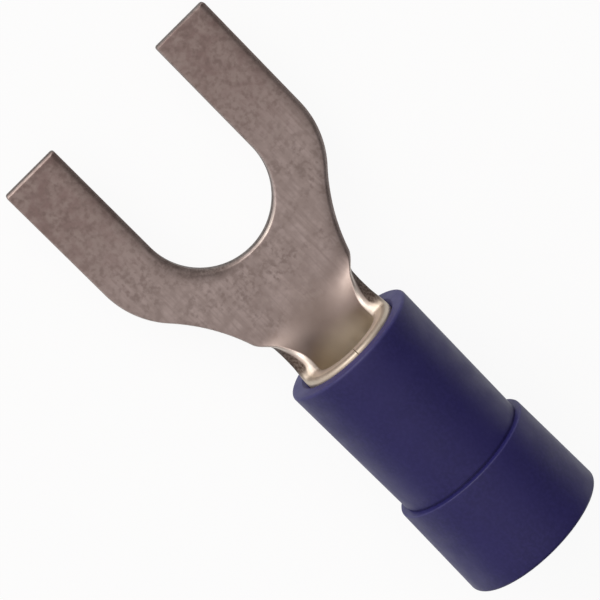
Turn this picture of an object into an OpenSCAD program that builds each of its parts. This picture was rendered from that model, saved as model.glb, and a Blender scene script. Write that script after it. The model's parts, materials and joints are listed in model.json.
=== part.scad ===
// Insulated fork terminal for wire of 1.5 to 2.5 square mm and a 5 mm stud.
// One piece of tinned copper sheet is stamped into a fork and rolled into a crimp barrel,
// and a stepped vinyl sleeve is pressed over the barrel.
// The origin is the stud's axis at the underside of the tongue.
// X runs towards the wire and Z is up. All sizes are in mm.

/* [Fork tongue] */
// Thickness of the copper sheet
sheet_t = 0.7; // [0.6:0.05:1]
// Width across the two prongs
tongue_w = 9.6; // [9:0.1:10.6]
// Width of the slot that takes the stud
slot_w = 5; // [4.2:0.1:5.4]
// Distance from the stud's axis to the prong tips
prong_reach = 4.9; // [3.5:0.1:6.5]
// Radius of the round shoulders beside the stud
shoulder_r = 3.5; // [3.1:0.1:4]
// Radius of the hollow flanks that lead to the neck
flank_r = 7.5; // [6.5:0.1:9]
// Width that the flanks draw in to
neck_w = 4.1; // [3.8:0.1:4.5]
// Width of the rolled edge that the punch leaves round the top of the sheet
edge_roll = 0.18; // [0.1:0.02:0.3]

/* [Neck and barrel] */
// Distance from the stud's axis to the barrel's front edge
barrel_x = 6.9; // [6.5:0.1:8]
// Length of the round barrel
barrel_len = 5.5; // [4.5:0.1:6]
// Diameter of the barrel's bore, for the bare wire
barrel_bore = 2.6; // [2.2:0.1:2.8]
// Radius of the inside corner between the neck's side walls and the barrel's front edge
sweep_r = 0.1; // [0.1:0.05:0.3]
// Length over which the flat sheet curls up into the round
curl_len = 1.8; // [1.5:0.05:2]
// Part of that length over which the neck narrows to the barrel's width
curl_draw = 0.39; // [0.3:0.01:0.5]
// Gap at the butted seam along the top of the barrel
seam_gap = 0.03; // [0.02:0.01:0.2]
// Bevel at the barrel's wire end
mouth_bevel = 0.3; // [0.1:0.05:0.5]
// Number of grip grooves in the bore
groove_n = 3; // [2:1:4]
// Width of a grip groove
groove_w = 0.4; // [0.2:0.05:0.6]
// Depth of a grip groove
groove_d = 0.1; // [0.05:0.01:0.2]
// Distance between the grip grooves
groove_pitch = 1.1; // [0.8:0.1:1.3]

/* [Sleeve] */
// Distance from the stud's axis to the sleeve's front face
sleeve_x = 7; // [6.8:0.1:8]
// Clearance between the barrel and the sleeve, on the radius
sleeve_gap = 0.02; // [0.01:0.01:0.1]
// Length of the narrow part that grips the barrel
grip_len = 5.9; // [5.6:0.1:7]
// Outer diameter of the narrow part at its front
grip_d = 5.36; // [5.1:0.02:6]
// How much the narrow part tapers down to the step, on the diameter
grip_taper = 0.12; // [0:0.02:0.2]
// Length of the wide part that takes the wire's insulation
entry_len = 3.9; // [3:0.1:5]
// Outer diameter of the wide part at the step
entry_d = 5.72; // [5.6:0.02:6.4]
// How much the wide part flares out to the rear, on the diameter
entry_flare = 0.2; // [0:0.02:0.4]
// Diameter of the bore for the wire's insulation
entry_bore = 4.5; // [4.3:0.1:4.7]
// Length of the cone between the two bores
funnel_len = 0.6; // [0.4:0.1:1]
// Radius of the sleeve's rounded rims
rim_r = 0.12; // [0.05:0.01:0.18]
// Bevel inside both ends of the sleeve
lip_bevel = 0.15; // [0.05:0.05:0.25]

/* [Hidden] */
$fn = 96;
// Barrel
barrel_od = barrel_bore + 2 * sheet_t;
axis_z = barrel_od / 2;
roll_r = (barrel_od - sheet_t) / 2;
barrel_end = barrel_x + barrel_len;
// Neck
curl_end = barrel_x - sweep_r;
curl_x = curl_end - curl_len;
// Centres of the shoulder and flank arcs, which touch each other
shoulder_y = tongue_w / 2 - shoulder_r;
flank_y = neck_w / 2 + flank_r;
flank_x = sqrt(pow(shoulder_r + flank_r, 2) - pow(flank_y - shoulder_y, 2));
// Direction from a shoulder's centre to its flank's centre
touch_x = flank_x / (shoulder_r + flank_r);
touch_y = (flank_y - shoulder_y) / (shoulder_r + flank_r);
// Half width and slope of the tongue's edge where the curl starts
curl_run = sqrt(pow(flank_r, 2) - pow(flank_x - curl_x, 2));
curl_half = flank_y - curl_run;
curl_slope = -(flank_x - curl_x) / curl_run;
// How far the flank arcs bite into the shoulders, so that the two arcs cross cleanly
bite = 0.002;
// Angle of that direction
touch_angle = atan2(touch_y, touch_x);
// How far a cutter reaches past the face it cuts
over = 0.2;
// How far the curl reaches into its neighbours, and how far it lies under their skins
lap = 0.12;
seat = 0.01;
// Rows of the curl along X, and steps across it
curl_rows = 13;
curl_steps = 20;
// Sleeve
step_x = sleeve_x + grip_len;
sleeve_end = step_x + entry_len;
grip_r = grip_d / 2;
grip_end_r = (grip_d - grip_taper) / 2;
entry_r = entry_d / 2;
entry_end_r = (entry_d + entry_flare) / 2;
hold_r = barrel_od / 2 + sleeve_gap;
funnel_x = step_x - funnel_len / 2;

function smooth(u) = u * u * (3 - 2 * u);
// Gentler start and end, so that no crease shows where the flat sheet starts to curl
function ease(u) = u * u * u * (10 - 15 * u + 6 * u * u);
// Half width of the neck seen from above, from the tongue's edge to the barrel's side
function neck_half(u) =
    let (v = min(1, u / curl_draw))
    (1 - smooth(v)) * curl_half
    + v * (1 - v) * (1 - v) * curl_slope * curl_len * curl_draw
    + smooth(v) * axis_z;
// Radius that the middle of the sheet is curled to
function bend_r(u) = roll_r / ease(u);
// Angle from the bottom of the curl up to the sheet's edge
function edge_angle(u) = asin(min(1, neck_half(u) / (bend_r(u) + sheet_t / 2)));
// Point of the curled sheet: u along the curl, f across it, h above the sheet's middle,
// and short, how far the outermost points stop before the sheet's edge
function curl_point(u, f, h, short) =
    u <= 0
    ? [curl_x + u * curl_len, f * (neck_half(0) - short), sheet_t / 2 + h]
    : let (v = min(u, 1), r = bend_r(v), a = f * (edge_angle(v) - short / r * 180 / PI))
      [curl_x + u * curl_len, (r - h) * sin(a), sheet_t / 2 + r - (r - h) * cos(a)];
// Points round an arc
function arc(x, y, r, from, to) =
    [for (i = [0:6]) [x + r * cos(from + (to - from) * i / 6), y + r * sin(from + (to - from) * i / 6)]];

// Flat outline of the fork: straight prongs, round shoulders and hollow flanks
module tongue_outline() {
    difference() {
        union() {
            translate([-prong_reach, -tongue_w / 2])
                square([prong_reach, tongue_w]);
            web_outline();
        }
        for (side = [-1, 1])
            translate([flank_x, side * flank_y])
                circle(r = flank_r + bite);
        translate([-prong_reach - over, -slot_w / 2])
            square([prong_reach + over, slot_w]);
        intersection() {
            circle(d = slot_w);
            translate([0, -slot_w])
                square([slot_w, 2 * slot_w]);
        }
    }
}

// Web behind the slot: the two shoulder arcs and the stock that the flanks are cut from
module web_outline() {
    reach = shoulder_r + 0.4;
    top = shoulder_y + touch_y * reach;
    for (side = [-1, 1])
        intersection() {
            translate([0, side * shoulder_y])
                circle(r = shoulder_r);
            translate([0, side * (shoulder_y + tongue_w / 2) - tongue_w / 2])
                square(tongue_w);
        }
    polygon([
        [0, -shoulder_y],
        [touch_x * reach, -top],
        [curl_x, -top],
        [curl_x, top],
        [touch_x * reach, top],
        [0, shoulder_y]
    ]);
}

// Rolled edge along a straight stretch, running to the right of the way into the sheet
module edge_line(x, y, way_in, length) {
    translate([x, y, sheet_t])
        rotate([0, 0, way_in])
            rotate([90, 0, 0])
                linear_extrude(height = length)
                    polygon([
                        [edge_roll + over, over],
                        [-over, -edge_roll - over],
                        [-over, over]
                    ]);
}

// Rolled edge round an arc of radius r, with the sheet inside it (way -1) or outside it (way 1)
module edge_arc(x, y, r, way, from, sweep) {
    translate([x, y, sheet_t])
        rotate([0, 0, from])
            rotate_extrude(angle = sweep)
                polygon([
                    [r + way * (edge_roll + over), over],
                    [r - way * over, -edge_roll - over],
                    [r - way * over, over]
                ]);
}

// Flat fork with the rolled edge that the punch leaves round its top
module tongue() {
    run = prong_reach + over;
    difference() {
        linear_extrude(height = sheet_t)
            tongue_outline();
        edge_line(-prong_reach, tongue_w / 2 + over, 0, tongue_w + 2 * over);
        edge_line(over, tongue_w / 2, -90, run + over);
        edge_line(-run, -tongue_w / 2, 90, run + over);
        edge_line(-run, slot_w / 2, 90, run);
        edge_line(0, -slot_w / 2, -90, run);
        edge_arc(0, 0, slot_w / 2, 1, -100, 200);
        edge_arc(0, shoulder_y, shoulder_r, -1, touch_angle, 90 - touch_angle);
        edge_arc(0, -shoulder_y, shoulder_r, -1, -90, 90 - touch_angle);
        edge_arc(flank_x, flank_y, flank_r + bite, 1, 180, 90);
        edge_arc(flank_x, -flank_y, flank_r + bite, 1, 90, 90);
    }
}

// Neck where the flat sheet curls up into the round, as a skin of rows along X
module curl() {
    rows = concat(
        [-lap / curl_len],
        [for (i = [1:curl_rows]) i / (curl_rows + 1)],
        [1 + lap / curl_len]
    );
    h = sheet_t / 2 - seat;
    m = curl_steps;
    w = 2 * m + 4;
    n = len(rows) - 1;
    points = [
        for (u = rows)
            for (k = [0:w - 1])
                k <= m ? curl_point(u, 2 * k / m - 1, -h, seat)
                : k == m + 1 ? curl_point(u, 1, h - edge_roll, seat)
                : k == w - 1 ? curl_point(u, -1, h - edge_roll, seat)
                : curl_point(u, 2 * (w - 2 - k) / m - 1, h, edge_roll)
    ];
    sides = [
        for (i = [0:n - 1])
            for (k = [0:w - 1])
                for (half = [0, 1])
                    let (a = i * w + k, b = i * w + (k + 1) % w)
                    half == 0 ? [a, b + w, b] : [a, a + w, b + w]
    ];
    front = concat(
        [[0, w - 2, w - 1], [m, m + 1, m + 2]],
        [
            for (k = [0:m - 1])
                for (half = [0, 1])
                    half == 0 ? [k, k + 1, w - 2 - k] : [k + 1, w - 3 - k, w - 2 - k]
        ]
    );
    back = [for (t = front) [t[0] + n * w, t[2] + n * w, t[1] + n * w]];
    polyhedron(points = points, faces = concat(sides, front, back), convexity = 6);
}

// Swept cut that opens the front of the barrel into a trough with rising side walls
module sweep_cut() {
    rotate([90, 0, 0])
        linear_extrude(height = 2 * barrel_od, center = true) {
            translate([curl_x, axis_z])
                square([curl_end - curl_x, barrel_od]);
            intersection() {
                translate([curl_end, axis_z + sweep_r])
                    circle(r = sweep_r);
                translate([curl_end, axis_z])
                    square([sweep_r, sweep_r]);
            }
            translate([curl_end, axis_z + sweep_r])
                square([sweep_r, barrel_od]);
        }
}

// Cylinder along X on the barrel's axis
module along(x, length, r, r_end) {
    translate([x, 0, axis_z])
        rotate([0, 90, 0])
            cylinder(r1 = r, r2 = r_end, h = length);
}

// Tinned copper piece: fork tongue, curled neck and rolled barrel
module terminal() {
    grooves_x = barrel_x + barrel_len / 2 - groove_pitch * (groove_n - 1) / 2;
    color("Silver")
        union() {
            tongue();
            curl();
            difference() {
                along(curl_end, barrel_end - curl_end, barrel_od / 2, barrel_od / 2);
                along(curl_end - over, barrel_end - curl_end + 2 * over, barrel_bore / 2, barrel_bore / 2);
                along(barrel_end - mouth_bevel, mouth_bevel, barrel_bore / 2, barrel_bore / 2 + mouth_bevel);
                for (i = [0:groove_n - 1])
                    along(
                        grooves_x + groove_pitch * i - groove_w / 2,
                        groove_w,
                        barrel_bore / 2 + groove_d,
                        barrel_bore / 2 + groove_d
                    );
                sweep_cut();
                translate([barrel_x - over, -seam_gap / 2, axis_z])
                    cube([barrel_len + 2 * over, seam_gap, barrel_od]);
            }
        }
}

// Vinyl sleeve: narrow grip on the barrel, step, and wide entry for the wire's insulation
module sleeve() {
    entry_r_in = entry_bore / 2;
    color("MidnightBlue")
        translate([0, 0, axis_z])
            rotate([0, 90, 0])
                rotate_extrude()
                    polygon(concat(
                        [[hold_r, funnel_x], [hold_r, sleeve_x + lip_bevel]],
                        [[hold_r + lip_bevel, sleeve_x]],
                        arc(grip_r - rim_r, sleeve_x + rim_r, rim_r, -90, 0),
                        [[grip_end_r, step_x]],
                        arc(entry_r - rim_r, step_x + rim_r, rim_r, -90, 0),
                        arc(entry_end_r - rim_r, sleeve_end - rim_r, rim_r, 0, 90),
                        [[entry_r_in + lip_bevel, sleeve_end]],
                        [[entry_r_in, sleeve_end - lip_bevel], [entry_r_in, funnel_x + funnel_len]]
                    ));
}

terminal();
sleeve();
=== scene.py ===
import json
import math
from collections import namedtuple

import bmesh
import bpy
from mathutils import Matrix, Vector


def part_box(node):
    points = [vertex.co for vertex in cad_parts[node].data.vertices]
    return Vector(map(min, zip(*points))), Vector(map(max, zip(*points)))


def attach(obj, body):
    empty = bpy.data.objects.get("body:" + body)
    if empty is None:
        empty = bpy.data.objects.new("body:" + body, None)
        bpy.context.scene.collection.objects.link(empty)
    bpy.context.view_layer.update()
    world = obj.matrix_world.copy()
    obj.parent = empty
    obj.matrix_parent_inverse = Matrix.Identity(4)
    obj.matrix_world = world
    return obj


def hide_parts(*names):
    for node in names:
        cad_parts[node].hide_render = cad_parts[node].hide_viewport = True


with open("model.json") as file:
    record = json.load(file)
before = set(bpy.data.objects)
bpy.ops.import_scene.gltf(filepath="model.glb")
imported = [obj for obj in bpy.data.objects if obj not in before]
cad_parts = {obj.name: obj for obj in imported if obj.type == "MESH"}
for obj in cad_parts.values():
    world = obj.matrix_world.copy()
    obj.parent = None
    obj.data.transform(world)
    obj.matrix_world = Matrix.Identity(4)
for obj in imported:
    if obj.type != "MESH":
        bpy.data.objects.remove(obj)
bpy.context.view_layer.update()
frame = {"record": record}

# Terminal: one piece of tinned copper sheet. A press punches the fork out of the strip, which
# leaves a soft edge round the top, then curls the neck up and rolls the rest into the barrel.
# The blank is drawn flat here, x along the part and s across the sheet, and is then rolled.
MM = 0.001
mounts = {mount["name"]: mount for mount in frame["record"]["mounts"]}
terminal_low, terminal_high = (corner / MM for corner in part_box("terminal"))
# Sheet and fork, in mm
SHEET = mounts["tongue_top"]["pos_m"][2] / MM
HALF_SHEET = SHEET / 2
PRONG_TIP = terminal_low.x
PRONG_OUT = terminal_high.y
PRONG_IN = mounts["stud_slot"]["dims"]["r_mm"]
SHOULDER_R = 3.5
FLANK_R = 7.5
NECK_HALF = 2.05
# Barrel, with its seam, its bevelled wire end and the grip grooves inside
BARREL_X = 6.9
BARREL_END = terminal_high.x
ROLL_R = mounts["wire_barrel"]["dims"]["r_mm"] + HALF_SHEET
AXIS_Z = ROLL_R + HALF_SHEET
SEAM_HALF = 0.015
MOUTH_BEVEL = 0.3
GROOVES_X = (8.55, 9.65, 10.75)
GROOVE_HALF = 0.2
GROOVE_DEPTH = 0.1
GROOVE_WALL = 0.02
# Curl from the flat neck to the barrel: the sweep of its edge into the barrel's front, its length,
# and the share of that length over which the neck comes to the barrel's width
SWEEP_X = 0.1
CURL_LEN = 1.8
CURL_DRAW = 0.39
CURL_END = BARREL_X - SWEEP_X
CURL_X = CURL_END - CURL_LEN
# Steps of the mesh along the blank's edge
SLOT_STEPS, SHOULDER_STEPS, FLANK_STEPS = 30, 18, 14
CURL_STEPS, SWEEP_STEPS = 22, 10

# Centres of the shoulder's and the hollow flank's arcs, the direction in which the two touch, and
# the neck's half width and its slope where the flank's arc runs into the curl
shoulder_y = PRONG_OUT - SHOULDER_R
flank_y = NECK_HALF + FLANK_R
flank_x = math.sqrt((SHOULDER_R + FLANK_R) ** 2 - (flank_y - shoulder_y) ** 2)
touch = math.atan2(flank_y - shoulder_y, flank_x)
curl_run = math.sqrt(FLANK_R ** 2 - (flank_x - CURL_X) ** 2)
curl_half = flank_y - curl_run
curl_slope = -(flank_x - CURL_X) / curl_run


def smooth(u):
    """Step from 0 to 1 that starts and ends level."""
    u = min(1, max(0, u))
    return u * u * (3 - 2 * u)


def ease(u):
    """The same, and also straight at both ends, so that the curl starts without a crease."""
    return u ** 3 * (10 - 15 * u + 6 * u * u)


def bend_radius(x):
    """Radius that the middle of the sheet is rolled to at x, or None where it is flat."""
    u = (x - CURL_X) / CURL_LEN
    if u <= 0:
        return None
    return ROLL_R / ease(min(u, 1))


def curl_edge(x):
    """How far the sheet reaches across at x in the curl, measured along the sheet."""
    v = min(1, (x - CURL_X) / CURL_LEN / CURL_DRAW)
    leaving = v * (1 - v) ** 2 * curl_slope * CURL_LEN * CURL_DRAW
    half = (1 - smooth(v)) * curl_half + leaving + smooth(v) * AXIS_Z
    r = bend_radius(x)
    return half if r is None else r * math.asin(min(1, half / (r + HALF_SHEET)))


def arc(x, y, r, start, end, steps):
    """Points of a circle's arc, both ends with it."""
    turns = [start + (end - start) * i / steps for i in range(steps + 1)]
    return [(x + r * math.cos(turn), y + r * math.sin(turn)) for turn in turns]


def half_blank():
    """Points of the blank's edge on the +s side, from the middle of the slot's end round to the
    middle of the barrel's rear end. A third value marks a square corner: tip, front or rear."""
    quarter = math.pi / 2
    seam = ROLL_R * math.pi - SEAM_HALF
    edge = arc(0, 0, PRONG_IN, 0, quarter, SLOT_STEPS)
    edge += [(PRONG_TIP, PRONG_IN, "tip"), (PRONG_TIP, PRONG_OUT, "tip")]
    edge += arc(0, shoulder_y, SHOULDER_R, quarter, touch, SHOULDER_STEPS)
    curl_turn = math.atan2(curl_half - flank_y, CURL_X - flank_x)
    edge += arc(flank_x, flank_y, FLANK_R, touch - math.pi, curl_turn, FLANK_STEPS)[1:]
    curl = [CURL_X + CURL_LEN * i / CURL_STEPS for i in range(1, CURL_STEPS + 1)]
    edge += [(x, curl_edge(x)) for x in curl]
    (x0, s0), (x1, s1) = edge[-2:]
    rise = math.atan2(s1 - s0, x1 - x0)
    sweep_r = SWEEP_X / (1 - math.sin(rise))
    sweep_s = s1 + sweep_r * math.cos(rise)
    edge += arc(BARREL_X - sweep_r, sweep_s, sweep_r, rise - quarter, 0, SWEEP_STEPS)[1:]
    edge += [(BARREL_X, seam, "front"), (BARREL_END, seam, "rear"), (BARREL_END, 0)]
    return edge


def inward_normals(edge):
    """Direction into the sheet across each stretch of its edge."""
    normals = []
    for start, end in zip(edge, edge[1:] + edge[:1]):
        along = (Vector(end[:2]) - Vector(start[:2])).normalized()
        normals.append(Vector((along.y, -along.x)))
    return normals


# Lengths over which a value goes from the fork's to the neck's and from the neck's to the barrel's,
# and how far before the curl's end the second starts
NECK_BLEND, BARREL_BLEND, BARREL_BLEND_BEFORE = 0.5, 0.35, 0.3
# Soft edge that the punch leaves: its depth, and how far in it reaches on the fork and on the neck.
# The punch sat off centre, so it reaches further in on edges that face +y. The tips are sheared
# off last, which pulled more on the -y prong's than on the +y prong's.
SOFT_DOWN, SOFT_MORE = 0.13, 0.18
SOFT_FORK, SOFT_NECK = 0.055, 0.08
SOFT_TIPS = {-1: 0.09, 1: 0.05}
# Where a plain soft edge's painted highlight or shade has faded out, as a share of its reach, and
# how steeply any soft edge's painted highlight or shade fades
FADE_END, FADE_SLOPE = 0.8, 2.5
# Painted highlight where the slot's end faces the lamp: the direction, how narrow the place is, how
# far in its soft edge reaches, and how steeply its painted dark outer line turns to the highlight
GLINT_TOWARDS = Vector((0.93, 0.37))
GLINT_POWER, SOFT_GLINT, GLINT_SLOPE = 10, 0.05, 8
# Round edge underneath, and round corners of the prongs' tips seen from above
BURR_R = 0.14
CORNER_R = 0.1
# Flat margin inside the round edges, underneath and on top
UNDER_MARGIN, TOP_MARGIN = 0.05, 0.04
# Height above the sheet's middle where the smooth cut ends and the torn one starts, on the fork,
# on the neck's rising edges and on the barrel, whose ends the rolling dies smooth again. The torn
# part is darkened with painted shade, and the smooth part carries painted highlight or shade.
TORN_FORK, TORN_NECK, TORN_BARREL = 0.14, 0.13, -0.02
TORN_BLEND = 0.08
# How much painted shade the torn part takes and how much painted highlight the smooth part, on the
# fork and on the barrel. Both are 1 on the neck. A brightness below 0 is painted shade instead.
FORK_SHARE, BARREL_SHARE = 0.92, 0.4
FORK_BRIGHT, BARREL_BRIGHT = -0.35, 0.5
# Painted highlight on the -y prong's tip, painted shade on the +y prong's tip, and the painted highlight
# at the slot's end
TIPS_BRIGHT = {-1: 0.3, 1: -0.5}
SLOT_BRIGHT = 0.7
# Painted shade in the wider soft edge of edges that face +y: its amount, how soon an edge that turns
# to +y has it, how much more of it falls in the slot's end, and how far over the flat it thins out
EDGE_SHADE, SHADE_TURN, SHADE_SLOT, SHADE_WIDE = 0.4, 1.8, 0.8, 0.42
# Steps of the mesh round a tip's corner, round the burr and over the soft edge
CORNER_STEPS, BURR_STEPS, SOFT_STEPS = 6, 4, 10


def along_cut(x, fork, neck, barrel):
    """Value at x that goes from the fork's to the neck's and on to the barrel's."""
    to_neck = smooth((x - CURL_X) / NECK_BLEND)
    to_barrel = smooth((x - CURL_END + BARREL_BLEND_BEFORE) / BARREL_BLEND)
    return fork + (neck - fork) * to_neck + (barrel - neck) * to_barrel


def torn_height(x):
    """Height above the sheet's middle where the torn cut starts."""
    return along_cut(x, TORN_FORK, TORN_NECK, TORN_BARREL)


def faces_lamp(normal):
    """How much an edge with this inward normal faces the lamp and takes the painted highlight, from 0 to
    1.
    """
    return max(0, normal.dot(GLINT_TOWARDS)) ** GLINT_POWER


def soft_reach(x, normal):
    """How far in the soft edge reaches at x, on an edge with this inward normal."""
    fork = SOFT_FORK + SOFT_MORE * max(0, -normal.y) + SOFT_GLINT * faces_lamp(normal)
    return along_cut(x, fork, SOFT_NECK, SOFT_NECK)


def shade_width(x):
    """How far over the flat the painted shade thins out."""
    return along_cut(x, SHADE_WIDE, TOP_MARGIN, TOP_MARGIN)


# A row of points over the cut edge: how far into the sheet it lies, as a share of the soft edge's
# reach and further in mm, its height above the sheet's middle, and the cut there, from 1 torn and
# darkened with painted shade to -1 burnished with a painted highlight, on plain edges, on edges
# with painted shade and on edges that face the lamp with a painted highlight
Row = namedtuple("Row", "share further height plain grimy rubbed")
# How much painted shade and how much painted highlight a point's edge takes, from 0 to 1, the painted
# shade's gain and the painted highlight's brightness
PaintedEdgeLight = namedtuple("PaintedEdgeLight", "grimy gain rubbed bright")


def cut_rows():
    """All rows, from the underside round the burr, up the cut and over the soft edge to the top."""
    rows = [Row(0, BURR_R + UNDER_MARGIN, -HALF_SHEET, 0, 0, 0)]
    for i in reversed(range(BURR_STEPS + 1)):
        turn = math.pi / 2 * i / BURR_STEPS
        height = -HALF_SHEET + BURR_R * (1 - math.sin(turn))
        torn_and_shade = 1 - (i / BURR_STEPS) ** 3
        rows.append(Row(0, BURR_R * (1 - math.cos(turn)), height, torn_and_shade, torn_and_shade, torn_and_shade))
    rows.append(Row(0, 0, lambda x: torn_height(x) - TORN_BLEND, 1, 1, 1))
    rows.append(Row(0, 0, lambda x: torn_height(x) + TORN_BLEND, -1, EDGE_SHADE, 1))
    for i in range(SOFT_STEPS + 1):
        u = i / SOFT_STEPS
        height = HALF_SHEET - SOFT_DOWN * (1 - u) ** 2
        plain = -min(1, max(0, FADE_SLOPE * (FADE_END - u)))
        rubbed = max(-1, 1 - GLINT_SLOPE * u) * min(1, FADE_SLOPE * (1 - u))
        rows.append(Row(u, 0, height, plain, EDGE_SHADE, rubbed))
    rows.append(Row(1, TOP_MARGIN, HALF_SHEET, 0, EDGE_SHADE, 0))
    rows.append(Row(1, shade_width, HALF_SHEET, 0, 0, 0))
    return rows


def tip_corner(place, before, after, share, further):
    """A row's points round the corner of a prong's tip, between edges with these inward normals,
    and the painted highlight or shade at each. They all fall together in a row further in than the
    corner's radius."""
    side = 1 if place.y > 0 else -1
    long_edge = before if abs(before.y) > abs(before.x) else after
    reaches = []
    for normal in (before, after):
        soft = soft_reach(place.x, normal) if normal is long_edge else SOFT_TIPS[side]
        reaches.append(share * soft + further)
    in_before, in_after = reaches
    middle = place + max(CORNER_R, in_before) * before + max(CORNER_R, in_after) * after
    found = []
    for i in range(CORNER_STEPS + 1):
        turn = math.pi / 2 * i / CORNER_STEPS
        round_before = max(0, CORNER_R - in_before) * math.cos(turn) * before
        round_after = max(0, CORNER_R - in_after) * math.sin(turn) * after
        faced = math.cos(turn) * before + math.sin(turn) * after
        if min(reaches) > CORNER_R:
            faced = long_edge
        painted_edge_light = PaintedEdgeLight(min(0, faced.y) ** 2, 1, faced.x ** 2, TIPS_BRIGHT[side])
        found.append((middle - round_before - round_after, painted_edge_light))
    return found


def edge_point(place, before, after, square, share, further):
    """A row's point beside any other place on the edge, and the painted highlight or shade there. At the
    square corners of the barrel the row follows its ends, so the seam's own edges stay square."""
    inward = (before + after) / (1 + before.dot(after))
    if square:
        inward = before if abs(before.x) > abs(after.x) else after
    # Painted highlight on edges that face the lamp, and painted shade on edges that face +y
    rubbed = along_cut(place.x, faces_lamp(inward), 0, 0)
    faces_back = along_cut(place.x, min(1, SHADE_TURN * max(0, -inward.y)), 0, 0)
    gain = 1 + SHADE_SLOT * max(0, inward.x)
    painted_edge_light = PaintedEdgeLight(faces_back * (1 - rubbed), gain, rubbed, SLOT_BRIGHT)
    return place + (share * soft_reach(place.x, inward) + further) * inward, painted_edge_light


def row_points(edge, normals, row):
    """All points of a row as (x, s, height), each with its painted highlight or shade."""
    points = []
    for i, (x, s, *corner) in enumerate(edge):
        place = Vector((x, s))
        before, after = normals[i - 1], normals[i]
        further = row.further(x) if callable(row.further) else row.further
        height = row.height(x) if callable(row.height) else row.height
        if corner == ["tip"]:
            found = tip_corner(place, before, after, row.share, further)
        else:
            found = [edge_point(place, before, after, bool(corner), row.share, further)]
        points += [((*point, height), painted_edge_light) for point, painted_edge_light in found]
    return points


def cut_value(x, row, painted_edge_light):
    """The cut at a point, from 1 torn and darkened with painted shade to -1 burnished with a painted
    highlight.
    """
    torn_and_shade = along_cut(x, FORK_SHARE, 1, BARREL_SHARE)
    bright = along_cut(x, FORK_BRIGHT, 1, BARREL_BRIGHT)
    plain = row.plain * (torn_and_shade if row.plain > 0 else bright)
    grimy = min(1, row.grimy * painted_edge_light.gain) * torn_and_shade
    rubbed = row.rubbed * (torn_and_shade if row.rubbed > 0 else painted_edge_light.bright)
    return (1 - painted_edge_light.grimy - painted_edge_light.rubbed) * plain + painted_edge_light.grimy * grimy + painted_edge_light.rubbed * rubbed


# Slices of the blank over the sweep and across the rolled sheet, and rings of points behind the
# barrel's front and before its bevel
SWEEP_SLICES, ROLL_STEPS = 3, 56
FRONT_RING, MOUTH_RING = 0.5, 0.2
# Points closer than this are merged, on the flat blank and on the rolled terminal, and edges shorter
# than the last are taken out, in mm
MERGE_FLAT, MERGE_ROLLED, SHORTEST_EDGE = 0.00001, 0.002, 0.001
# A face with a corner straighter than this is split into triangles, and an edge that turns more
# than this stays sharp, in degrees
STRAIGHT_CORNER, SHARP_EDGE = 178, 38


def join_rings(bm, pairs):
    """Fill the band between the two rings of each pair."""
    for a, b in pairs:
        for i in range(len(a)):
            j = (i + 1) % len(a)
            bm.faces.new((a[i], a[j], b[j], b[i]))


def slice_at(bm, axis, value, faces):
    """Cut faces of the flat blank along the line where one axis has this value."""
    parts = dict.fromkeys(faces)
    for face in faces:
        parts.update(dict.fromkeys(face.edges))
        parts.update(dict.fromkeys(face.verts))
    place, normal = Vector((0, 0, 0)), Vector((0, 0, 0))
    place[axis], normal[axis] = value, 1
    bmesh.ops.bisect_plane(bm, geom=list(parts), dist=MERGE_FLAT, plane_co=place, plane_no=normal)


def slices_along():
    """Places along the blank that need points: the curl, its sweep, the grooves and the bevel."""
    places = [CURL_X + CURL_LEN * i / CURL_STEPS for i in range(CURL_STEPS + 1)]
    places += [CURL_END + SWEEP_X * i / SWEEP_SLICES for i in range(1, SWEEP_SLICES)]
    places += [BARREL_X + FRONT_RING]
    for groove in GROOVES_X:
        for side in (groove - GROOVE_HALF, groove + GROOVE_HALF):
            places += [side - GROOVE_WALL, side + GROOVE_WALL]
    bevel_x = BARREL_END - MOUTH_BEVEL
    return places + [bevel_x - MOUTH_RING, bevel_x, bevel_x + MOUTH_BEVEL / 2]


def roll_up(x, s, h):
    """Place on the finished terminal of a point of the flat blank, h above the sheet's middle."""
    for groove in GROOVES_X:
        if abs(x - groove) < GROOVE_HALF:
            h = min(h, HALF_SHEET - GROOVE_DEPTH)
    h = min(h, HALF_SHEET - max(0, x - (BARREL_END - MOUTH_BEVEL)))
    r = bend_radius(x)
    if r is None:
        return Vector((x, s, HALF_SHEET + h)) * MM
    turn = s / r
    return Vector((x, (r - h) * math.sin(turn), HALF_SHEET + r - (r - h) * math.cos(turn))) * MM


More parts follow.
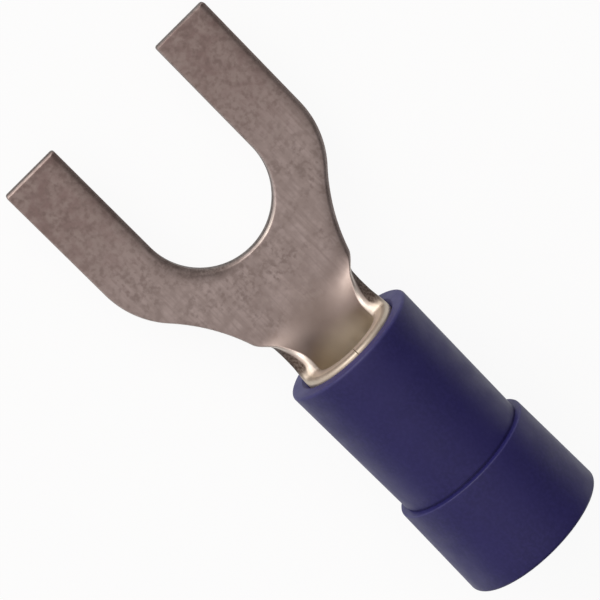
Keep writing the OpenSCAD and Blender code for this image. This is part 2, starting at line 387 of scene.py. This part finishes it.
def terminal_mesh():
    """The blank with its cut edges, sliced where it bends and rolled up."""
    upper = half_blank()
    edge = upper + [(x, -s, *corner) for x, s, *corner in reversed(upper[1:-1])]
    normals = inward_normals(edge)
    bm = bmesh.new()
    # The cut attribute carries the painted highlight and painted shade of the cut edges
    cut = bm.verts.layers.float.new("cut")
    rings = []
    for row in cut_rows():
        ring = []
        for point, painted_edge_light in row_points(edge, normals, row):
            vert = bm.verts.new(point)
            vert[cut] = cut_value(point[0], row, painted_edge_light)
            ring.append(vert)
        rings.append(ring)
    join_rings(bm, zip(rings, rings[1:]))
    bm.faces.new(rings[0])
    bm.faces.new(rings[-1][::-1])
    bmesh.ops.remove_doubles(bm, verts=bm.verts[:], dist=MERGE_FLAT)
    for x in slices_along():
        slice_at(bm, 0, x, bm.faces[:])
    for i in range(1, ROLL_STEPS):
        s = ROLL_R * math.pi * (2 * i / ROLL_STEPS - 1)
        slice_at(bm, 1, s, [face for face in bm.faces if face.calc_center_median().x > CURL_X])
    for vert in bm.verts:
        vert.co = roll_up(*vert.co)
    bmesh.ops.remove_doubles(bm, verts=bm.verts[:], dist=MERGE_ROLLED * MM)
    bmesh.ops.dissolve_degenerate(bm, edges=bm.edges[:], dist=SHORTEST_EDGE * MM)
    limit = math.radians(STRAIGHT_CORNER)
    straight = [face for face in bm.faces if any(loop.calc_angle() > limit for loop in face.loops)]
    bmesh.ops.triangulate(bm, faces=straight, quad_method="BEAUTY", ngon_method="BEAUTY")
    bmesh.ops.recalc_face_normals(bm, faces=bm.faces[:])
    return bm


def add_piece(bm, name):
    """Put a mesh into the scene, smooth but for its sharp edges."""
    mesh = bpy.data.meshes.new(name)
    bm.to_mesh(mesh)
    bm.free()
    piece = bpy.data.objects.new(name, mesh)
    bpy.context.scene.collection.objects.link(piece)
    mesh.shade_smooth()
    mesh.set_sharp_from_angle(angle=math.radians(SHARP_EDGE))
    weighted = piece.modifiers.new("weighted normals", "WEIGHTED_NORMAL")
    weighted.keep_sharp = True
    weighted.mode = "FACE_AREA"
    return piece


def new_material(name):
    material = bpy.data.materials.new(name)
    material.use_nodes = True
    tree = material.node_tree
    shader = tree.nodes["Principled BSDF"]
    return material, tree, shader


def add_noise(tree, size, detail, stretch=(1, 1, 1)):
    """Noise with features about size mm across, stretched along the part's axes."""
    place = tree.nodes.new("ShaderNodeTexCoord")
    scale = tree.nodes.new("ShaderNodeMapping")
    scale.inputs["Scale"].default_value = [1 / (size * MM * k) for k in stretch]
    tex = tree.nodes.new("ShaderNodeTexNoise")
    tex.inputs["Scale"].default_value = 1
    tex.inputs["Detail"].default_value = detail
    tree.links.new(place.outputs["Object"], scale.inputs["Vector"])
    tree.links.new(scale.outputs["Vector"], tex.inputs["Vector"])
    return tex.outputs["Fac"]


def ramp(tree, value, low, high, to_low=0.0, to_high=1.0):
    """Smooth step of a value, from to_low at low to to_high at high."""
    node = tree.nodes.new("ShaderNodeMapRange")
    node.interpolation_type = "SMOOTHSTEP"
    node.inputs["From Min"].default_value = low
    node.inputs["From Max"].default_value = high
    node.inputs["To Min"].default_value = to_low
    node.inputs["To Max"].default_value = to_high
    tree.links.new(value, node.inputs["Value"])
    return node.outputs["Result"]


def flecks(tree, size, detail, low, high, to_low=0.0, to_high=1.0, stretch=(1, 1, 1)):
    """Noise of one size in mm, stepped from to_low to to_high."""
    return ramp(tree, add_noise(tree, size, detail, stretch), low, high, to_low, to_high)


def product(tree, a, b):
    node = tree.nodes.new("ShaderNodeMath")
    node.operation = "MULTIPLY"
    tree.links.new(a, node.inputs[0])
    tree.links.new(b, node.inputs[1])
    return node.outputs["Value"]


def along_part(tree, low, high):
    """0 to 1 between two places along the part, in mm."""
    place = tree.nodes.new("ShaderNodeTexCoord")
    split = tree.nodes.new("ShaderNodeSeparateXYZ")
    tree.links.new(place.outputs["Object"], split.inputs["Vector"])
    return ramp(tree, split.outputs["X"], low * MM, high * MM)


def blend_colours(tree, amount, a, b):
    """Colour a where amount is 0 and b where it is 1; either may be a socket."""
    node = tree.nodes.new("ShaderNodeMix")
    node.data_type = "RGBA"
    tree.links.new(amount, node.inputs["Factor"])
    for key, colour in (("A", a), ("B", b)):
        socket = next(s for s in node.inputs if s.name == key and s.type == "RGBA")
        if isinstance(colour, tuple):
            socket.default_value = (*colour, 1)
        else:
            tree.links.new(colour, socket)
    return next(s for s in node.outputs if s.type == "RGBA")


def add_bump(tree, shader, height, strength, depth):
    """Let a height from 0 to 1 stand for a relief of this depth in mm."""
    node = tree.nodes.new("ShaderNodeBump")
    node.inputs["Strength"].default_value = strength
    node.inputs["Distance"].default_value = depth * MM
    tree.links.new(height, node.inputs["Height"])
    tree.links.new(node.outputs["Normal"], shader.inputs["Normal"])


# Colours of the tin, on the open sheet, then darker towards the prongs' tips, a painted shade where
# the neck starts to curl, a painted light in the trough and the barrel's mouth, and along the cut
# edges a painted highlight where burnished and a torn colour darkened with painted shade
TIN_DARK = (0.46, 0.385, 0.36)
TIN_LIGHT = (0.585, 0.50, 0.475)
TIN_LINES = (0.455, 0.38, 0.355)
TIN_SPECKS = (0.365, 0.30, 0.278)
TIN_TIPWARD = (0.405, 0.328, 0.303)
TIN_TARNISHED = (0.325, 0.243, 0.227)
TIN_SPOTS = (0.285, 0.22, 0.202)
# Painted shade where the neck starts to curl, and painted light in the trough and the barrel's mouth
TIN_CURL_SHADE = (0.405, 0.335, 0.305)
TIN_TROUGH_LIGHT = (0.76, 0.68, 0.555)
# Painted highlight on burnished cut edges, and torn cut edges darkened with painted shade
TIN_EDGE_HIGHLIGHT = (0.60, 0.54, 0.49)
TIN_TORN_SHADE = (0.06, 0.043, 0.035)
# Stretches along the part over which the darker tone towards the tips, the painted shade where the
# neck curls and the painted light in the trough grow
TIPWARD_X = (2.2, -4.7)
CURL_SHADE_X = (4.4, 6.0)
TROUGH_LIGHT_X = (6.2, 7.3)
# The most that the tin darkens towards the tips, its least and greatest roughness, and the share of
# that which burnishing leaves
TIPWARD_MOST = 0.8
TIN_SMOOTH, TIN_ROUGH, BURNISHED_ROUGH = 0.5, 0.6, 0.85


def tin_material():
    """Dull tin plate with mottling, rolling lines and specks. It is darker, tarnished and spotted
    towards the prongs' tips, darker with painted shade where the neck starts to curl and lighter with
    painted light in the trough and the barrel's mouth. Its cut edges carry a painted highlight where
    burnished and painted shade where torn or facing +y."""
    material, tree, shader = new_material("tinned copper")
    # Darker towards the prongs' tips, with tarnish and spots there
    towards_tips = along_part(tree, *TIPWARD_X)
    mottle = flecks(tree, size=0.45, detail=5, low=0.3, high=0.7)
    streaks = flecks(tree, size=0.12, detail=3, low=0.35, high=0.75, stretch=(14, 1, 1))
    patches = flecks(tree, size=1.1, detail=2, low=0.4, high=0.62, to_low=0.25)
    specks = product(tree, flecks(tree, size=0.19, detail=4, low=0.42, high=0.68), patches)
    tarnish = product(tree, flecks(tree, size=0.45, detail=4, low=0.36, high=0.68), towards_tips)
    spots = product(tree, flecks(tree, size=0.19, detail=5, low=0.4, high=0.75), towards_tips)
    colour = blend_colours(tree, mottle, TIN_DARK, TIN_LIGHT)
    colour = blend_colours(tree, streaks, colour, TIN_LINES)
    colour = blend_colours(tree, specks, colour, TIN_SPECKS)
    colour = blend_colours(tree, ramp(tree, towards_tips, 0, 1, 0, TIPWARD_MOST), colour, TIN_TIPWARD)
    colour = blend_colours(tree, tarnish, colour, TIN_TARNISHED)
    colour = blend_colours(tree, spots, colour, TIN_SPOTS)
    # Painted shade where the neck starts to curl, then painted light in the trough and the barrel's
    # mouth
    colour = blend_colours(tree, along_part(tree, *CURL_SHADE_X), colour, TIN_CURL_SHADE)
    colour = blend_colours(tree, along_part(tree, *TROUGH_LIGHT_X), colour, TIN_TROUGH_LIGHT)
    # Painted highlight on the burnished cut edges, which are also less rough
    cut = tree.nodes.new("ShaderNodeAttribute")
    cut.attribute_name = "cut"
    burnish_and_highlight = ramp(tree, cut.outputs["Fac"], 0, -1)
    colour = blend_colours(tree, burnish_and_highlight, colour, TIN_EDGE_HIGHLIGHT)
    # Torn cut edges and +y-facing edges, darkened with painted shade
    grit = flecks(tree, size=0.07, detail=3, low=0.35, high=0.65, to_low=0.8, stretch=(1, 1, 5))
    torn_and_shade = product(tree, ramp(tree, cut.outputs["Fac"], 0, 1), grit)
    colour = blend_colours(tree, torn_and_shade, colour, TIN_TORN_SHADE)
    tree.links.new(colour, shader.inputs["Base Color"])
    dull = flecks(tree, size=0.5, detail=4, low=0.3, high=0.7, to_low=TIN_SMOOTH, to_high=TIN_ROUGH)
    rough = product(tree, dull, ramp(tree, burnish_and_highlight, 0, 1, 1, BURNISHED_ROUGH))
    tree.links.new(rough, shader.inputs["Roughness"])
    shader.inputs["Metallic"].default_value = 1
    add_bump(tree, shader, add_noise(tree, size=0.2, detail=4), strength=0.12, depth=0.02)
    return material


terminal = add_piece(terminal_mesh(), "fork_terminal")
terminal.data.materials.append(tin_material())
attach(terminal, "root")
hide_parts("terminal")

# Sleeve: one moulding of dark blue vinyl, pressed over the barrel from behind. Its narrow front
# grips the barrel and is crimped with it, and its wide rear takes the wire's insulation.
sleeve_low, sleeve_high = (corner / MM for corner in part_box("sleeve"))
SLEEVE_X = sleeve_low.x
STEP_X = 12.9
SLEEVE_END = sleeve_high.x
# Outside radii, at the front and at the rear of the grip and of the entry behind the step
GRIP_R, GRIP_END_R = 2.68, 2.62
ENTRY_R, ENTRY_END_R = 2.86, 2.955
# Bores that hold the barrel and the wire, the funnel between them and the bevel at both mouths
HOLD_R = 2.02
ENTRY_BORE_R = mounts["wire_entry"]["dims"]["r_mm"]
FUNNEL_X, FUNNEL_LEN = 12.6, 0.6
LIP = 0.15
# Round edges of the front rim, the step and the rear rim, and the groove in front of the step
RIM_R, STEP_R, REAR_R = 0.12, 0.06, 0.13
STEP_GROOVE_WIDE, STEP_GROOVE_DEEP, STEP_GROOVE_WALL = 0.1, 0.05, 0.02
# Rings along the grip and the entry: how far behind the front or the step, and how far the taper
# has drawn in or the flare has opened there
GRIP_RINGS = ((0.6, 0.006), (3, 0.03), (5.5, 0.056))
ENTRY_RINGS = ((0.5, 0.013), (2, 0.05), (3.4, 0.085))
# Rings inside: one in the bore that holds the barrel, and one so far before the rear end
HOLD_RING_X, ENTRY_BORE_RING = 10.0, 1.5
# Steps of the mesh over the round edges and round the sleeve
RIM_STEPS, REAR_STEPS, SLEEVE_TURNS = 6, 8, 144
# Colours of the vinyl's body, from deep to light, and of its grain, and how rough it is
VINYL_DEEP = (0.0105, 0.0090, 0.089)
VINYL_LIGHT = (0.0140, 0.0115, 0.106)
VINYL_GRAIN = (0.017, 0.0145, 0.116)
VINYL_SMOOTH, VINYL_ROUGH = 0.5, 0.58


def sleeve_profile():
    """Section of the sleeve's wall as (x, radius), round from the front bore over the outside."""
    quarter = math.pi / 2
    groove_x, groove_r = STEP_X - STEP_GROOVE_WIDE, GRIP_END_R - STEP_GROOVE_DEEP
    line = [(SLEEVE_X + LIP, HOLD_R), (SLEEVE_X, HOLD_R + LIP)]
    line += arc(SLEEVE_X + RIM_R, GRIP_R - RIM_R, RIM_R, math.pi, quarter, RIM_STEPS)
    line += [(SLEEVE_X + behind, GRIP_R - drawn) for behind, drawn in GRIP_RINGS]
    line += [(groove_x, GRIP_END_R), (groove_x + STEP_GROOVE_WALL, groove_r), (STEP_X, groove_r)]
    line += arc(STEP_X + STEP_R, ENTRY_R - STEP_R, STEP_R, math.pi, quarter, RIM_STEPS)
    line += [(STEP_X + behind, ENTRY_R + opened) for behind, opened in ENTRY_RINGS]
    line += arc(SLEEVE_END - REAR_R, ENTRY_END_R - REAR_R, REAR_R, quarter, 0, REAR_STEPS)
    line += [(SLEEVE_END, ENTRY_BORE_R + LIP), (SLEEVE_END - LIP, ENTRY_BORE_R)]
    line += [(SLEEVE_END - ENTRY_BORE_RING, ENTRY_BORE_R), (FUNNEL_X + FUNNEL_LEN, ENTRY_BORE_R)]
    line += [(FUNNEL_X, HOLD_R), (HOLD_RING_X, HOLD_R)]
    return line


def sleeve_mesh():
    """The section turned round the barrel's axis."""
    bm = bmesh.new()
    rings = []
    for x, r in sleeve_profile():
        ring = []
        for i in range(SLEEVE_TURNS):
            turn = 2 * math.pi * i / SLEEVE_TURNS
            point = Vector((x, r * math.sin(turn), AXIS_Z - r * math.cos(turn)))
            ring.append(bm.verts.new(point * MM))
        rings.append(ring)
    join_rings(bm, zip(rings, rings[1:] + rings[:1]))
    bmesh.ops.recalc_face_normals(bm, faces=bm.faces[:])
    return bm


def vinyl_material():
    """Satin vinyl with a cloudy body and a fine grain."""
    material, tree, shader = new_material("blue vinyl")
    cloud = flecks(tree, size=2.5, detail=3, low=0.3, high=0.7)
    grain = flecks(tree, size=0.12, detail=3, low=0.35, high=0.7)
    colour = blend_colours(tree, cloud, VINYL_DEEP, VINYL_LIGHT)
    colour = blend_colours(tree, grain, colour, VINYL_GRAIN)
    tree.links.new(colour, shader.inputs["Base Color"])
    rough = flecks(tree, size=0.7, detail=4, low=0.3, high=0.7, to_low=VINYL_SMOOTH, to_high=VINYL_ROUGH)
    tree.links.new(rough, shader.inputs["Roughness"])
    add_bump(tree, shader, add_noise(tree, size=0.16, detail=4), strength=0.15, depth=0.02)
    return material


sleeve = add_piece(sleeve_mesh(), "vinyl_sleeve")
sleeve.data.materials.append(vinyl_material())
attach(sleeve, "root")
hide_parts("sleeve")

# Paper: the white sheet that the terminal lies on, flat on a table. To the camera and in the shine
# of the part it shows as nearly plain white, with a faint shadow.
FLOOR_HALF = 0.8
FLOOR_Z = (AXIS_Z - ENTRY_END_R) * MM
PAPER_GREY, PAPER_WHITE = (0.93, 0.93, 0.93), (0.95, 0.95, 0.95)
PAPER_ROUGH = 0.9
PAPER_GLOW = 0.92


def paper_material():
    material, tree, shader = new_material("white paper")
    tone = flecks(tree, size=6, detail=3, low=0.3, high=0.7)
    tree.links.new(blend_colours(tree, tone, PAPER_GREY, PAPER_WHITE), shader.inputs["Base Color"])
    shader.inputs["Roughness"].default_value = PAPER_ROUGH
    glow = tree.nodes.new("ShaderNodeEmission")
    path = tree.nodes.new("ShaderNodeLightPath")
    seen = path.outputs["Is Camera Ray"]
    for kind in ("Is Glossy Ray", "Is Transmission Ray"):
        either = tree.nodes.new("ShaderNodeMath")
        either.operation = "MAXIMUM"
        tree.links.new(seen, either.inputs[0])
        tree.links.new(path.outputs[kind], either.inputs[1])
        seen = either.outputs["Value"]
    both = tree.nodes.new("ShaderNodeMixShader")
    tree.links.new(ramp(tree, seen, 0, 1, 0, PAPER_GLOW), both.inputs["Fac"])
    tree.links.new(shader.outputs["BSDF"], both.inputs[1])
    tree.links.new(glow.outputs["Emission"], both.inputs[2])
    tree.links.new(both.outputs["Shader"], tree.nodes["Material Output"].inputs["Surface"])
    return material


floor_mesh = bpy.data.meshes.new("floor")
sides = [(-1, -1), (1, -1), (1, 1), (-1, 1)]
corners = [(x * FLOOR_HALF, y * FLOOR_HALF, FLOOR_Z) for x, y in sides]
floor_mesh.from_pydata(corners, [], [(0, 1, 2, 3)])
floor_mesh.materials.append(paper_material())
floor = bpy.data.objects.new("floor", floor_mesh)
bpy.context.scene.collection.objects.link(floor)

# Camera: nearly overhead and a little towards the prongs, turned so that the part lies across the
# picture from upper left to lower right.
CAMERA_AT = Vector((-17.106, -0.755, 91.937)) * MM
CAMERA_AIM = Vector((4.989, -0.088, 0.8)) * MM
CAMERA_UP = Vector((-0.7288, 0.7047, 0))
CAMERA_LENS = 159.54
CAMERA_SENSOR = 36
CAMERA_NEAREST = 0.002


def look_from(at, aim, up):
    """Placement of a camera or lamp that looks from one place at another."""
    back = (at - aim).normalized()
    right = up.cross(back).normalized()
    turned = Matrix((right, back.cross(right), back)).transposed().to_4x4()
    return Matrix.Translation(at) @ turned


camera_data = bpy.data.cameras.new("camera")
camera_data.sensor_width = CAMERA_SENSOR
camera_data.lens = CAMERA_LENS
camera_data.clip_start = CAMERA_NEAREST
camera = bpy.data.objects.new("camera", camera_data)
bpy.context.scene.collection.objects.link(camera)
camera.matrix_world = look_from(CAMERA_AT, CAMERA_AIM, CAMERA_UP)
bpy.context.scene.camera = camera
bpy.context.scene.view_settings.view_transform = "Standard"

# Light: one soft round lamp from beyond the prongs, low over the table, and the light of the room,
# which is brightest from high up on the same side and dim from the other.
LAMP_FROM = Vector((-0.92, -0.16, 0.36))
LAMP_AWAY = 0.7
LAMP_WIDE = 0.5
LAMP_POWER = 2.4
LAMP_TINT = (1.0, 0.97, 0.92)
ROOM_LIT_FROM = Vector((-0.60, -0.35, 0.72))
ROOM_DIM, ROOM_BRIGHT = 0.1, 1.0
ROOM_TINT = (1.0, 0.92, 0.905)

lamp_data = bpy.data.lights.new("soft lamp", "AREA")
lamp_data.shape = "DISK"
lamp_data.size = LAMP_WIDE
lamp_data.energy = LAMP_POWER
lamp_data.color = LAMP_TINT
lamp = bpy.data.objects.new("soft lamp", lamp_data)
bpy.context.scene.collection.objects.link(lamp)
lamp_at = CAMERA_AIM + LAMP_FROM.normalized() * LAMP_AWAY
lamp.matrix_world = look_from(lamp_at, CAMERA_AIM, Vector((0, 0, 1)))

world = bpy.data.worlds.new("room")
world.use_nodes = True
bpy.context.scene.world = world
room = world.node_tree
background = room.nodes["Background"]
direction = room.nodes.new("ShaderNodeTexCoord")
towards = room.nodes.new("ShaderNodeVectorMath")
towards.operation = "DOT_PRODUCT"
towards.inputs[1].default_value = ROOM_LIT_FROM
room.links.new(direction.outputs["Generated"], towards.inputs[0])
strength = ramp(room, towards.outputs["Value"], 0, 1, ROOM_DIM, ROOM_BRIGHT)
room.links.new(strength, background.inputs["Strength"])
background.inputs["Color"].default_value = (*ROOM_TINT, 1)
